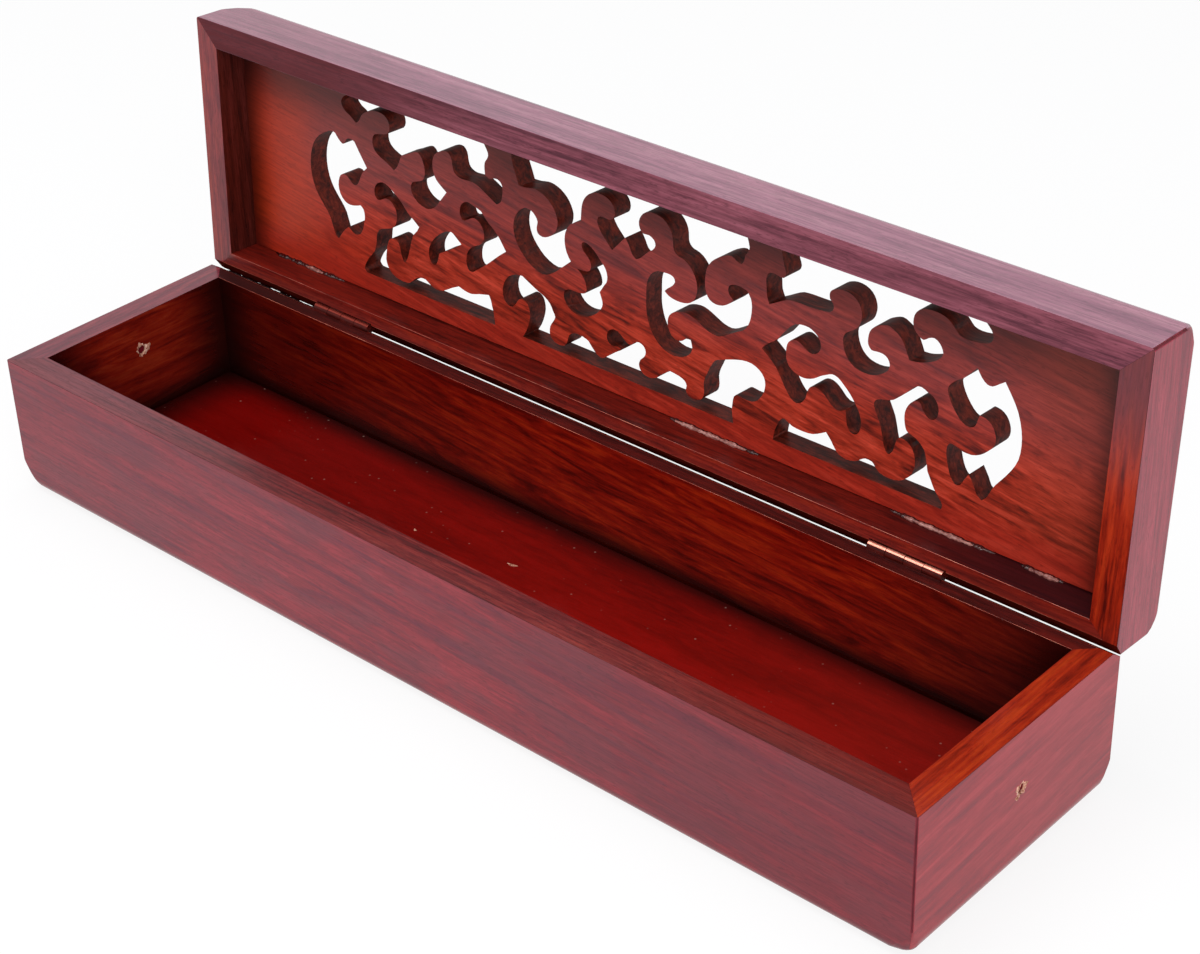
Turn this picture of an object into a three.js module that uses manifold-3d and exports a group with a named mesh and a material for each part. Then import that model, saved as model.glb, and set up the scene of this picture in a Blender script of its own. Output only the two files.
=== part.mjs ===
// Long wooden box for incense sticks: a mitred tray, and a hinged lid with a pierced scroll panel.
// Millimetres, +Z up. The origin is the centre of the underside, +X runs to the right along the
// front, and the hinges are at the back, at +Y. The lid stands open.

import * as THREE from 'three';
import { mergeVertices } from 'three/addons/utils/BufferGeometryUtils.js';
import Module from 'manifold-3d';

const wasm = await Module();
wasm.setup();

// Overall sizes
const boxLength = 260;
const boxWidth = 66;
const baseHeight = 34;
const lidHeight = 15.1;
const openAngleDeg = 93;

// Timber sections
const wallThickness = 6.8;
const railThickness = 6.5;
const baseEndRadius = 4.5;
const baseSideRadius = 3;
const lidEndRadius = 1;
const lidSideRadius = 3;
const mitreGap = 0.1;

// The floor board, with a tongue that lies in a groove in the four walls
const floorThickness = 8;
const floorTongueBottom = 2.5;
const floorTongueThickness = 3;
const floorPlay = 0.4;

// The pierced panel, with a tongue that lies in a groove in the four lid rails
const panelDepth = 8;
const panelThickness = 5.2;
const panelTongueInset = 1.2;
const panelTongueThickness = 2.8;
const panelPlay = 0.3;

// Both tongues and their grooves
const tongueReach = 2.7;
const tongueEndPlay = 0.3;
const tongueSidePlay = 0.2;

// The chamfers along the back edges, which make a channel for the hinge barrels
const chamferRun = 3.2;
const chamferDrop = 2.35;
const rimGap = 0.3;

// Hinges
const leftHingeFromEnd = 46.8;
const rightHingeFromEnd = 48.7;
const hingeLength = 18.2;
const hingeInset = 2.2;
const barrelRadius = 1.2;
const pinRadius = 0.5;
const pinPlay = 0.06;
const knuckleCount = 4;
const knuckleGap = 0.15;
const leafThickness = 0.8;
const leafReach = 3.4;
const leafPlay = 0.3;
const screwSpacing = 10;
const screwLength = 5;
const screwRadius = 0.4;
const screwHeadRadius = 0.8;
const screwHeadDepth = 0.5;
const screwPlay = 0.1;

// The small hole drilled through each end
const endHoleRadius = 1.25;
const endHoleOffset = 0.5;
const leftHoleDrop = 9.3;
const rightHoleDrop = 14.1;

// The solid border of the pierced panel
const borderAtEnds = 22.3;
const borderAtHinges = 4.9;
const borderAtFront = 4.5;

// Facets
const arcSegments = 6;
const roundSides = 16;
const stepsPerPoint = 2;
const overcut = 1;

// The openwork is drawn in millimetres, X along the lid and S up from its hinged edge, as it is
// seen from inside the open lid. Each opening is a list of runs. A run is one smooth curve, and
// two runs meet in a corner.
const drawnField = { halfLength: 101.2, bottom: 11.4, top: 55 };
const scrollOpenings = {
  leftBracket: [
    [[-92, 44.4], [-90.9, 43.2], [-89.7, 42.4], [-88.9, 42.8], [-88.2, 43.9], [-87, 44.4], [-85.5, 44]],
    [[-85.5, 44], [-84, 41.8], [-82.6, 39.9], [-81.6, 38.5]],
    [[-81.6, 38.5], [-83.2, 36.9], [-84.2, 34.9], [-85.1, 33.4], [-86.4, 33], [-87.6, 33.8], [-88.7, 34.6],
      [-90.2, 34.6], [-91.2, 33.6], [-91.7, 31.5], [-91.2, 29.4], [-89.8, 27.9], [-88, 27.4], [-85.8, 27.8],
      [-84.4, 28.3]],
    [[-84.4, 28.3], [-83.4, 27.6], [-83, 26], [-83.2, 24.6], [-83.6, 23], [-84.4, 21.3], [-85.8, 20.3],
      [-87.4, 20.5], [-88.8, 21.5]],
    [[-88.8, 21.5], [-90.3, 20.2], [-91.6, 18.6], [-92.5, 17.4]],
    [[-92.5, 17.4], [-93.8, 18.4], [-95, 21.9], [-96.8, 24.3], [-99, 26.8], [-100.5, 29.6], [-101.2, 33.2],
      [-100.9, 36.8], [-99.7, 40], [-97.6, 42.4], [-94.8, 44.1], [-93.2, 44.7], [-92, 44.4]],
  ],
  leftTop: [
    [[-87.6, 55], [-88.7, 54.2], [-89.4, 53], [-89, 51.7], [-87.9, 50.8], [-86.6, 50.2], [-84.7, 48.9]],
    [[-84.7, 48.9], [-83.6, 49.7], [-82.8, 51.1], [-81.3, 52.4], [-79.4, 53.3], [-77, 53.6], [-74.9, 53.2],
      [-73.7, 52], [-73.4, 50.4], [-74.2, 49], [-76.4, 48.3], [-78.4, 47.8], [-79.3, 46.4], [-79.1, 44.4],
      [-77.9, 43.1], [-76.2, 42.3], [-74.6, 41.7], [-72.5, 40.5]],
    [[-72.5, 40.5], [-71.5, 41.4], [-70.7, 42.9], [-69.8, 44.9]],
    [[-69.8, 44.9], [-67.8, 45.8], [-65.8, 46.8], [-64.3, 47.1], [-63.1, 46], [-62.4, 44.2], [-62.3, 42.2],
      [-63.2, 40.6], [-65.2, 39.8], [-66.5, 39.2], [-67, 37.8], [-66.5, 36.2], [-64.8, 34.7], [-62.3, 34],
      [-60.5, 34.4], [-59, 35.4], [-57.7, 37], [-55.4, 39.9]],
    [[-55.4, 39.9], [-57, 40.9], [-58.6, 42.1], [-59.4, 43.6], [-59.7, 45.5], [-59.4, 47.3], [-58.2, 48.8],
      [-56.2, 49.8], [-54.6, 49.8], [-53.6, 48.7], [-53.3, 47.2], [-52.9, 45.8], [-52, 45], [-50.4, 44.6],
      [-48, 44.8], [-46, 44.6], [-44.2, 43.9], [-42.3, 42.9], [-39.6, 41.6]],
    [[-39.6, 41.6], [-38.4, 42.4], [-37.8, 44], [-37.7, 45.8], [-38.1, 47], [-39.2, 47.7], [-40.6, 47.5],
      [-41.7, 47.1], [-43, 47.6]],
    [[-43, 47.6], [-43.2, 49], [-43.1, 50.6], [-42.5, 51.5], [-42, 52.5], [-42.2, 53.5], [-43.2, 55]],
    [[-43.2, 55], [-87.6, 55]],
  ],
  leftInner: [
    [[-51.3, 36], [-51.1, 37.6], [-50.2, 38.9], [-48.7, 39.5], [-47.2, 39.2], [-44.6, 38.5], [-43.3, 37.2],
      [-42, 36.1], [-40.6, 35.2], [-38.7, 33.4]],
    [[-38.7, 33.4], [-36.9, 30.9]],
    [[-36.9, 30.9], [-39, 29.3], [-41.1, 27.5], [-43.1, 25.8], [-45.8, 23.8], [-47.3, 22.7], [-48.6, 22.6],
      [-49.4, 23.9], [-49.4, 25.9], [-48.8, 27.5], [-47.5, 28.8], [-46.1, 29.6], [-44.8, 30.3], [-43.8, 31.7],
      [-43.7, 33.3], [-44.3, 34.7], [-45.3, 35.7], [-46.6, 36.1], [-47.6, 35.9], [-49.6, 34.7], [-50.7, 34.8],
      [-51.3, 36]],
  ],
  leftLeaf: [
    [[-51, 28.4], [-52.8, 29.7], [-54.2, 30.5], [-56.4, 29.9], [-58.5, 28.4], [-60.2, 26.7], [-61.4, 24.7],
      [-61.7, 22.9], [-61.3, 21.3], [-60.4, 20.5], [-59.4, 20.8], [-58.7, 22.2], [-58.2, 23.8], [-57.2, 24.5],
      [-54.4, 26.1], [-51, 28.4]],
  ],
  leftBottom: [
    [[-79.2, 32.2], [-79.3, 33.9], [-78.3, 35.6], [-76.4, 36.4], [-74.6, 36], [-73, 35], [-71.4, 34],
      [-69.8, 32.6], [-68.3, 31.1], [-66.4, 29.8]],
    [[-66.4, 29.8], [-64.7, 28.6]],
    [[-64.7, 28.6], [-65.4, 27.4], [-66.6, 26.1], [-67.3, 24.6], [-67.9, 22.4], [-68.6, 20.2], [-69.3, 18.7],
      [-70.1, 18.2], [-70.9, 19.6], [-71.3, 21.3], [-72, 22.7], [-73.2, 23.1], [-74.4, 22.7], [-75.4, 21.4],
      [-75.9, 19.2], [-76.2, 17], [-75.7, 15.4], [-74.8, 14.2], [-73.2, 13.3], [-70.7, 12.9], [-68.6, 13.2],
      [-67.3, 14.2], [-66.2, 15.1], [-64.8, 15.7], [-63.1, 15.8], [-61.6, 15], [-59.5, 14.4], [-57.4, 14.7],
      [-54.4, 16.4], [-52.1, 17.5]],
    [[-52.1, 17.5], [-50.2, 17], [-48, 16.9], [-45.7, 17.6], [-42.5, 18.4]],
    [[-42.5, 18.4], [-41.9, 17.3], [-41.5, 15.8], [-41, 14.2], [-40.6, 11.4]],
    [[-40.6, 11.4], [-82.9, 11.4]],
    [[-82.9, 11.4], [-83.8, 12.3], [-83.2, 13.8], [-82.1, 15.5], [-80.7, 17], [-79.7, 18.6], [-79.3, 20.6],
      [-79, 22.6], [-78, 24], [-76.4, 24.7], [-74.6, 25.3], [-73, 26.2], [-72.2, 27.8], [-72, 29.5],
      [-72.6, 31.2], [-74, 32.4], [-75.6, 32.6], [-77, 31.9], [-78.3, 31.5], [-79.2, 32.2]],
  ],
  middleTop: [
    [[-34.9, 55], [-34.7, 53.4], [-34.2, 51.8], [-33.6, 50.4], [-32.7, 48.1]],
    [[-32.7, 48.1], [-30.7, 48.2], [-28.6, 48.6], [-26.8, 48.5], [-24.8, 47.8], [-23, 46.5], [-21.8, 44.9],
      [-21.1, 43], [-21.4, 41], [-22.4, 39.5], [-24, 38.4], [-25.7, 37.9], [-27.1, 38.4], [-27.4, 39.7],
      [-27.1, 41.1], [-27.8, 42.3], [-29, 43.2], [-30.7, 43.4], [-32.1, 42.6], [-33.4, 41.3], [-34.2, 39.7],
      [-34.5, 37.6], [-34.1, 35.5], [-33, 33.4], [-31.1, 31.3], [-28.6, 29.7], [-25.7, 28.9], [-23.2, 29.7],
      [-21.4, 31], [-19.8, 32.4], [-17.2, 34.6]],
    [[-17.2, 34.6], [-18.4, 36.3], [-19, 38.4], [-19, 40.2], [-18.6, 41.6], [-17.8, 42.9], [-16.6, 43.9],
      [-14.3, 45.1]],
    [[-14.3, 45.1], [-14.2, 46.8], [-14, 48.8], [-13.3, 50.6], [-12, 52], [-10.2, 52.9], [-8.2, 53],
      [-6.3, 52.5], [-5, 51.4], [-4.5, 49.9], [-4.9, 48.5], [-6.2, 47.8], [-8, 47.9], [-9.2, 47.5],
      [-9.5, 46.3], [-8.8, 44.8], [-7.4, 43.1], [-5.2, 41]],
    [[-5.2, 41], [-4.2, 42], [-3, 43.4], [-1.4, 45.1]],
    [[-1.4, 45.1], [-0.2, 43.2], [0.6, 41.7], [1.6, 41]],
    [[1.6, 41], [2.7, 41.5], [3.9, 42.6], [5.2, 43.8], [6.3, 44.6], [7, 45.7], [6.6, 46.9], [5.2, 47.6],
      [3.6, 47.5], [2.6, 48.4], [2.3, 49.9], [2.9, 51.4], [4.1, 52.5], [6, 53], [8.1, 52.8], [9.8, 52],
      [11.2, 50.4], [11.8, 48.6], [11.9, 47], [12.4, 45.9], [13.3, 45.3]],
    [[13.3, 45.3], [15, 44.9], [16.6, 43.9], [17.9, 42.3], [18.6, 40.4], [18.7, 38.6], [18.1, 36.8],
      [16.9, 35.6], [15.2, 35], [13, 34.9], [11, 35.3], [9.8, 36.1]],
    [[9.8, 36.1], [10.7, 37], [11.9, 38], [12.6, 39.1], [12.1, 40.1], [10.8, 40.4], [9.3, 40.3], [7.7, 40.1],
      [6.3, 39.2], [5.2, 37.6], [4.7, 35.5], [4.7, 33], [4.7, 30.9], [5, 28.8], [5.8, 26.4], [7.2, 24.3],
      [9.3, 22.6], [11.8, 21.8], [14.3, 22], [16.2, 22.8], [17.4, 24], [17.8, 25.3], [17.3, 27]],
    [[17.3, 27], [16, 26.9], [14.9, 26], [13.5, 25.7], [12, 26.3], [11.1, 27.8], [10.8, 29.3], [11.2, 30.8],
      [12.5, 32], [14.5, 32.7], [16.6, 32.8], [18.5, 32.2], [20.3, 31.4], [22.2, 30.6], [24.3, 30.3],
      [26.1, 30.9], [28.1, 32.1], [30.2, 33.3], [31.6, 34.2], [32.6, 35.6], [33.2, 37.5], [33.4, 40],
      [33, 41.8], [32, 43.2]],
    [[32, 43.2], [30.6, 43.5], [28.9, 43.6], [27.4, 43], [27, 41.9], [27.4, 40.8], [28.5, 39.9]],
    [[28.5, 39.9], [27.4, 38.8], [25.7, 37.8], [23.8, 37.5], [22.2, 38], [21.2, 39.3], [20.8, 41],
      [20.8, 43], [21.2, 45], [22.3, 46.8], [24, 48.2], [26, 49.3], [27.6, 49.7], [29, 49], [30.2, 48.7],
      [30.9, 49.6], [31.2, 50.9], [31.9, 52], [32.2, 53.1], [31.6, 55]],
    [[31.6, 55], [-34.9, 55]],
  ],
  middleHook: [
    [[-15.4, 33.5], [-13.6, 33.5], [-12.1, 33.8], [-11.3, 34.7], [-11.3, 35.9], [-12.1, 37.1], [-13.4, 38.2],
      [-14, 39.3], [-13.8, 40.2], [-12.7, 40.4], [-11.3, 39.9], [-9.8, 38.8], [-8.6, 37.6], [-7.7, 36.8],
      [-6.9, 35.7], [-6.5, 34.3], [-6.7, 32.9], [-7.3, 32.1], [-8.7, 29.9]],
    [[-8.7, 29.9], [-8.2, 28.8], [-7.8, 27.3], [-8.4, 25.8], [-9.8, 24.3], [-11.8, 23], [-13.6, 22.4],
      [-15.8, 22.4], [-17.8, 23.2], [-19, 24.7], [-19.3, 26.1], [-18.7, 27.3], [-17.2, 27.8], [-14.8, 27.8],
      [-13.1, 28.2], [-12.5, 29.3], [-12.9, 31], [-14.1, 32.6], [-15.4, 33.5]],
  ],
  middleBottom: [
    [[-31.9, 11.4], [-30.9, 13], [-30.1, 15], [-29.6, 17.2], [-29.9, 19.2], [-30.8, 20.4], [-32, 20.8],
      [-33.1, 20.3], [-33.9, 19.1], [-35, 17.9], [-36.5, 17.9], [-37.7, 19.1], [-38.1, 21.2], [-37.4, 23.4],
      [-36, 25.2], [-34, 26.2], [-31.9, 26.5]],
    [[-31.9, 26.5], [-29.8, 25.5], [-27.1, 24.3], [-25.2, 23.6], [-23.5, 22.4], [-22.6, 20.9], [-21.9, 19.6],
      [-22.6, 18.2], [-23.4, 16.9], [-23.6, 15.3], [-23.2, 14.2], [-22.2, 13.4], [-20.7, 13.1], [-19, 13.5],
      [-18.2, 14.9], [-17.6, 16.6], [-15.8, 17.6], [-13.6, 17.5], [-11.9, 17]],
    [[-11.9, 17], [-10.7, 15.7], [-9.4, 14.6], [-8.3, 14.2], [-7.1, 14.5], [-5.2, 16], [-3.2, 17.4],
      [-2.2, 18.1], [-3.2, 18.5], [-4.6, 18.2], [-5.9, 18.6], [-6.5, 19.8], [-6.2, 21.2], [-5, 22.2],
      [-3.4, 22.2], [-1.9, 21.3], [-0.6, 20.3], [0.6, 20.3], [1.6, 21.1], [2.8, 21.6], [4.2, 21.1],
      [4.8, 19.9], [4.4, 18.6], [3.4, 17.6], [2.9, 16.4], [3.3, 15.2], [4.3, 14.4], [6, 14.1], [7.9, 14.7],
      [9.7, 16.3], [11.8, 17.7]],
    [[11.8, 17.7], [14.3, 17.4], [15.9, 16.8], [16.5, 15.8], [16.3, 14.7], [16.9, 13.7], [18.3, 13.3],
      [20, 13.6], [21.1, 14.6], [21.4, 16.2], [21.2, 18], [21.6, 19.7], [22.2, 21], [23, 22.8], [24.2, 24.5],
      [25.5, 25.1], [28.5, 26.2], [31.4, 27], [33.9, 27.1], [36, 26.3], [37.3, 25], [37.7, 23.4],
      [37.4, 21.6], [36.8, 20.4], [35.8, 19.1], [34.3, 18.3], [32.2, 18.2], [30.4, 18.4], [29.5, 17.8],
      [29.2, 16.2], [29.1, 14.3], [29.6, 11.4]],
    [[29.6, 11.4], [-31.9, 11.4]],
  ],
  rightTop: [
    [[40.4, 55], [40.8, 53.4], [41.3, 51.7], [41.8, 50.2], [41.2, 49], [39.8, 49.1], [38.5, 49.3],
      [37.3, 48.8], [36.8, 47.4], [37, 45.5], [37.2, 43.6], [37.9, 42.1]],
    [[37.9, 42.1], [39.4, 42.9], [41, 43.8], [42.8, 44.6], [45.2, 44.8], [47.7, 44.8], [50.6, 44.9],
      [53.2, 45.3], [54.1, 46.3], [53.9, 47.4], [53.1, 48.2], [52.9, 49.2], [53.3, 50.1], [54.4, 50.7],
      [56, 51.1], [58, 50.9], [59.7, 50], [60.7, 48.6], [61.1, 47], [60.9, 45.6], [60.4, 44.4], [59.4, 43.4],
      [58.2, 42.6], [57.2, 41.8], [56.8, 40.4], [57.2, 38.4], [58.3, 36.5], [60.2, 35.2], [62.6, 34.8],
      [64.8, 35.1], [66.8, 36.1], [68.2, 37.4], [68.5, 38.7], [67.9, 39.9], [66.7, 40.5], [65.2, 40.5],
      [63.9, 40.4], [63, 41.4], [62.9, 42.8], [63.2, 44.3], [64.2, 45.6], [65.8, 46.5], [67.4, 47],
      [69, 46.5], [70.7, 45.4], [71.8, 43.8], [73, 41.3]],
    [[73, 41.3], [74.6, 41.4], [76.4, 41.9], [78.3, 42.7], [79.7, 43.6], [80.7, 44.8], [80.6, 46],
      [79.8, 47.2], [78.5, 47.9], [77.2, 47.5], [76, 46.7], [74.8, 47.2], [73.7, 48.3], [73.3, 49.7],
      [73.5, 51.3], [74.4, 52.6], [76, 53.4], [78.5, 53.6], [81, 53.1], [82.6, 51.9], [84.1, 50.5],
      [86, 50.1], [88, 50.3], [89.8, 50.6], [91.2, 51.2], [91.8, 52.4], [91.2, 53.8], [90, 55]],
    [[90, 55], [40.4, 55]],
  ],
  rightInner: [
    [[36.4, 31.5], [37.3, 32.6], [38.9, 33.8], [40.4, 35], [41.8, 36.8], [43.3, 38.6], [44.8, 39.8],
      [46.4, 40.2], [48.2, 40.2], [49.5, 39.7], [50.5, 39], [51.3, 37.8], [51.4, 36.4], [50.7, 35.2],
      [49.3, 34.6], [47.9, 35], [46.6, 35.8], [45.2, 36.3], [43.8, 35.8], [42.9, 34.6], [42.7, 33],
      [42.9, 31.3], [43.6, 29.9], [45.2, 28.9], [46.8, 28.5], [48.4, 28.6], [50.2, 29.3], [51.8, 30.4],
      [53.3, 31.2], [54.7, 31.8], [56.2, 31.5], [57.7, 30.4], [59.3, 29], [60.7, 27.3], [61.8, 25.7],
      [62.5, 23.5], [62.2, 21.3], [61.2, 20.3], [59.9, 20.5], [59, 21.8], [58.7, 23.4], [58.5, 25]],
    [[58.5, 25], [57.4, 24.4], [56.2, 24.2], [54.9, 24.8], [53.6, 26], [52.2, 27], [50.6, 27.4],
      [49.2, 26.9], [48.6, 25.6], [48.3, 24.2], [47.4, 22.8], [46, 22.1], [44.4, 22.8], [42.8, 24.7],
      [41.5, 26.8], [40.3, 28.4], [38.8, 29.8], [36.4, 31.5]],
  ],
  rightBottom: [
    [[77.9, 35.9], [76.4, 36.5], [75, 36.1], [73.5, 34.7], [71.8, 33], [70, 31.4], [68.5, 30.8],
      [66.8, 30.4], [65.6, 29.7], [65.4, 28.4], [66.2, 26.7], [67.2, 24.7], [67.9, 22.3], [68.5, 20.2],
      [69.5, 18.9], [70.5, 19.7], [71, 21.2], [71.4, 22.8], [72.3, 23.6], [73.8, 23.4], [75.2, 22.3],
      [76, 20.6], [76.2, 19], [76, 17.5], [75.3, 16.1], [74.2, 14.9], [72.6, 13.9], [70.2, 13.5],
      [67.8, 13.9], [66.6, 14.9], [65.8, 15.7], [64.1, 15.8], [62.9, 15.1], [61.7, 14.3], [59.3, 13.8],
      [57.4, 14.3], [56.3, 15.3], [55.3, 16.7], [53.9, 18.2]],
    [[53.9, 18.2], [52.7, 17.5], [50.6, 16.5], [48.1, 16.2], [45.2, 16.4], [43.1, 17.4], [42, 16.8],
      [41.2, 15.1], [40.6, 13.4], [40.3, 11.4]],
    [[40.3, 11.4], [83.2, 11.4]],
    [[83.2, 11.4], [83.4, 12.4], [82.6, 13.6], [81.2, 15.2], [80.2, 17], [79.3, 18.6]],
    [[79.3, 18.6], [79, 20], [78.7, 21.4], [78.1, 23], [76.8, 24.3], [75.5, 25], [73.9, 25.5], [73.3, 26.3],
      [72.9, 28], [72.9, 29.7], [73.5, 31.3], [74.6, 32.6], [75.6, 33.1], [76.4, 32.9], [77, 31.8],
      [78, 30.6], [79.3, 30.2], [80.4, 30.9], [80.8, 32.6], [80.4, 34.2], [79.3, 35.4], [77.9, 35.9]],
  ],
  rightBracket: [
    [[88.8, 45], [90, 43.3], [91.3, 42.3], [92.6, 42.3], [93.9, 43.2], [95.3, 44.2]],
    [[95.3, 44.2], [97.1, 41.7], [98.8, 38.8], [99.9, 35.2], [100.2, 32], [99.8, 28.8], [98.4, 25.9],
      [96.5, 23.2], [95.2, 21.5], [94.3, 19.8], [93.4, 17.9], [92.4, 17]],
    [[92.4, 17], [91.2, 17.8], [90.4, 19.4], [89, 21.6]],
    [[89, 21.6], [88, 20], [87.2, 18.5], [86, 18.2], [84.8, 19.5], [84, 21.5], [83.4, 24], [83.5, 26],
      [84.5, 26.8], [87.2, 26]],
    [[87.2, 26], [89.2, 26], [91.2, 26.8], [92.8, 28.2], [94, 29.5], [94.4, 31], [94.1, 32.6], [93.2, 34.1],
      [91.8, 35], [90.3, 35.2]],
    [[90.3, 35.2], [89.9, 34], [89.5, 32.6], [88.2, 31.8], [86.4, 32.3], [84.8, 33.8], [83.3, 36],
      [82.5, 38.2], [83.2, 39.7], [84.7, 41], [86, 41.9], [87.4, 43.4], [88.8, 45]],
  ],
};

// Finishes, one for each kind of piece
const finishes = {
  wall: { color: 0x8c4650, roughness: 0.5, metalness: 0 },
  floor: { color: 0x6e0f0c, roughness: 0.3, metalness: 0 },
  rail: { color: 0x8a3f42, roughness: 0.5, metalness: 0 },
  openwork: { color: 0xa03a2a, roughness: 0.5, metalness: 0 },
  copper: { color: 0xc98468, roughness: 0.35, metalness: 1 },
};

// Places worked out from the sizes above
const quarterTurn = Math.PI / 2;
const openAngle = THREE.MathUtils.degToRad(openAngleDeg);
const halfLength = boxLength / 2;
const halfWidth = boxWidth / 2;
const axisY = halfWidth - hingeInset;
const axisZ = baseHeight + rimGap / 2;
const lidRimZ = baseHeight + rimGap;
const grooveDepth = tongueReach + tongueEndPlay;

// A closed geometry as a solid that can be cut
function toSolid(geometry) {
  geometry.deleteAttribute('normal');
  geometry.deleteAttribute('uv');
  const merged = mergeVertices(geometry, 1e-5);
  return new wasm.Manifold(new wasm.Mesh({
    numProp: 3,
    vertProperties: new Float32Array(merged.attributes.position.array),
    triVerts: new Uint32Array(merged.index.array),
  }));
}

function toGeometry(solid) {
  const mesh = solid.getMesh();
  const geometry = new THREE.BufferGeometry();
  geometry.setAttribute('position', new THREE.BufferAttribute(mesh.vertProperties, 3));
  geometry.setIndex(new THREE.BufferAttribute(mesh.triVerts, 1));
  geometry.computeVertexNormals();
  return geometry;
}

function join(geometries) {
  const solids = geometries.map(toSolid);
  return solids.reduce((whole, solid) => whole.add(solid));
}

function cut(solid, cutters) {
  return cutters.reduce((rest, cutter) => rest.subtract(toSolid(cutter)), solid);
}

function addPiece(parent, name, geometry, finish) {
  const mesh = new THREE.Mesh(geometry, new THREE.MeshStandardMaterial(finishes[finish]));
  mesh.name = name;
  parent.add(mesh);
  return mesh;
}

// A box between two opposite corners
function block(low, high) {
  const size = low.map((value, axis) => high[axis] - value);
  const centre = low.map((value, axis) => (high[axis] + value) / 2);
  return new THREE.BoxGeometry(...size).translate(...centre);
}

// A round bar along X, and one that stands on Z
function barAlongX(radius, fromX, toX, y, z) {
  const bar = new THREE.CylinderGeometry(radius, radius, toX - fromX, roundSides);
  return bar.rotateZ(quarterTurn).translate((fromX + toX) / 2, y, z);
}

function barAlongZ(topRadius, bottomRadius, fromZ, toZ, x, y) {
  const bar = new THREE.CylinderGeometry(topRadius, bottomRadius, toZ - fromZ, roundSides);
  return bar.rotateX(quarterTurn).translate(x, y, (fromZ + toZ) / 2);
}

// A section drawn in (Y, Z) and extruded is laid along X, with its middle at X = 0
function layAlongX(geometry, span) {
  return geometry.rotateX(quarterTurn).rotateZ(quarterTurn).translate(-span / 2, 0, 0);
}

// A section drawn as (distance in from the outer face, height), run along a side of the box with
// mitred ends
const sides = {
  front: { turn: 0, length: boxLength, reach: halfWidth },
  right: { turn: quarterTurn, length: boxWidth, reach: halfLength },
  back: { turn: 2 * quarterTurn, length: boxLength, reach: halfWidth },
  left: { turn: -quarterTurn, length: boxWidth, reach: halfLength },
};

function mitredTimber(section, sideName, bottomZ) {
  const { turn, length, reach } = sides[sideName];
  const geometry = new THREE.ExtrudeGeometry(section, {
    depth: 1,
    bevelEnabled: false,
    curveSegments: arcSegments,
  });
  const place = geometry.attributes.position;
  const mitreBack = mitreGap * Math.SQRT1_2;
  for (let i = 0; i < place.count; i += 1) {
    const inward = place.getX(i);
    const height = place.getY(i);
    const end = place.getZ(i) > 0.5 ? 1 : -1;
    place.setXYZ(i, end * (length / 2 - inward - mitreBack), inward - reach, height + bottomZ);
  }
  return toSolid(geometry.rotateZ(turn));
}

// The wall section, grooved for the floor board
function wallSection() {
  const grooveBottom = floorTongueBottom - tongueSidePlay;
  const grooveTop = floorTongueBottom + floorTongueThickness + tongueSidePlay;
  const grooveBack = wallThickness - grooveDepth;
  const section = new THREE.Shape();
  section.moveTo(0, 0);
  section.lineTo(wallThickness, 0);
  section.lineTo(wallThickness, grooveBottom);
  section.lineTo(grooveBack, grooveBottom);
  section.lineTo(grooveBack, grooveTop);
  section.lineTo(wallThickness, grooveTop);
  section.lineTo(wallThickness, baseHeight);
  section.lineTo(0, baseHeight);
  return section;
}

// What rounding takes off the outer edge along one side, at the bottom of the tray or at the top
// of the lid. Each timber is cut by all four, so the roundings of two sides meet cleanly at the
// corner.
function edgeRounding(sideName, radius, edgeZ, atTop) {
  const { turn, length, reach } = sides[sideName];
  const corner = new THREE.Shape();
  corner.moveTo(-overcut, -overcut);
  corner.lineTo(radius, -overcut);
  corner.lineTo(radius, 0);
  corner.absarc(radius, radius, radius, 1.5 * Math.PI, Math.PI, true);
  corner.lineTo(-overcut, radius);
  const span = length + 2 * overcut;
  const geometry = new THREE.ExtrudeGeometry(corner, {
    depth: span,
    bevelEnabled: false,
    curveSegments: arcSegments,
  });
  const laid = layAlongX(geometry, span).rotateY(atTop ? Math.PI : 0);
  return laid.translate(0, -reach, edgeZ).rotateZ(turn);
}

function fourRoundings(endRadius, sideRadius, edgeZ, atTop) {
  return [
    edgeRounding('front', sideRadius, edgeZ, atTop),
    edgeRounding('back', sideRadius, edgeZ, atTop),
    edgeRounding('left', endRadius, edgeZ, atTop),
    edgeRounding('right', endRadius, edgeZ, atTop),
  ];
}

// The lid rail section, rim down and grooved for the panel
function railSection() {
  const tongueBottom = panelDepth + panelTongueInset;
  const grooveBottom = tongueBottom - tongueSidePlay;
  const grooveTop = tongueBottom + panelTongueThickness + tongueSidePlay;
  const grooveBack = railThickness - grooveDepth;
  const section = new THREE.Shape();
  section.moveTo(0, 0);
  section.lineTo(railThickness, 0);
  section.lineTo(railThickness, grooveBottom);
  section.lineTo(grooveBack, grooveBottom);
  section.lineTo(grooveBack, grooveTop);
  section.lineTo(railThickness, grooveTop);
  section.lineTo(railThickness, lidHeight);
  section.lineTo(0, lidHeight);
  return section;
}

// The wedge that a chamfer takes off a back edge. The material is below the rim in the base
// (upward is 1) and above it in the lid (upward is -1).
function chamferCutter(rimZ, upward) {
  const startY = halfWidth - chamferRun;
  const endY = halfWidth + overcut;
  const slope = chamferDrop / chamferRun;
  const wedge = new THREE.Shape();
  wedge.moveTo(startY, rimZ);
  wedge.lineTo(endY, rimZ - upward * slope * (endY - startY));
  wedge.lineTo(endY, rimZ + upward * overcut);
  wedge.lineTo(startY, rimZ + upward * overcut);
  const span = boxLength + 2 * overcut;
  const geometry = new THREE.ExtrudeGeometry(wedge, { depth: span, bevelEnabled: false });
  return layAlongX(geometry, span);
}

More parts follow.
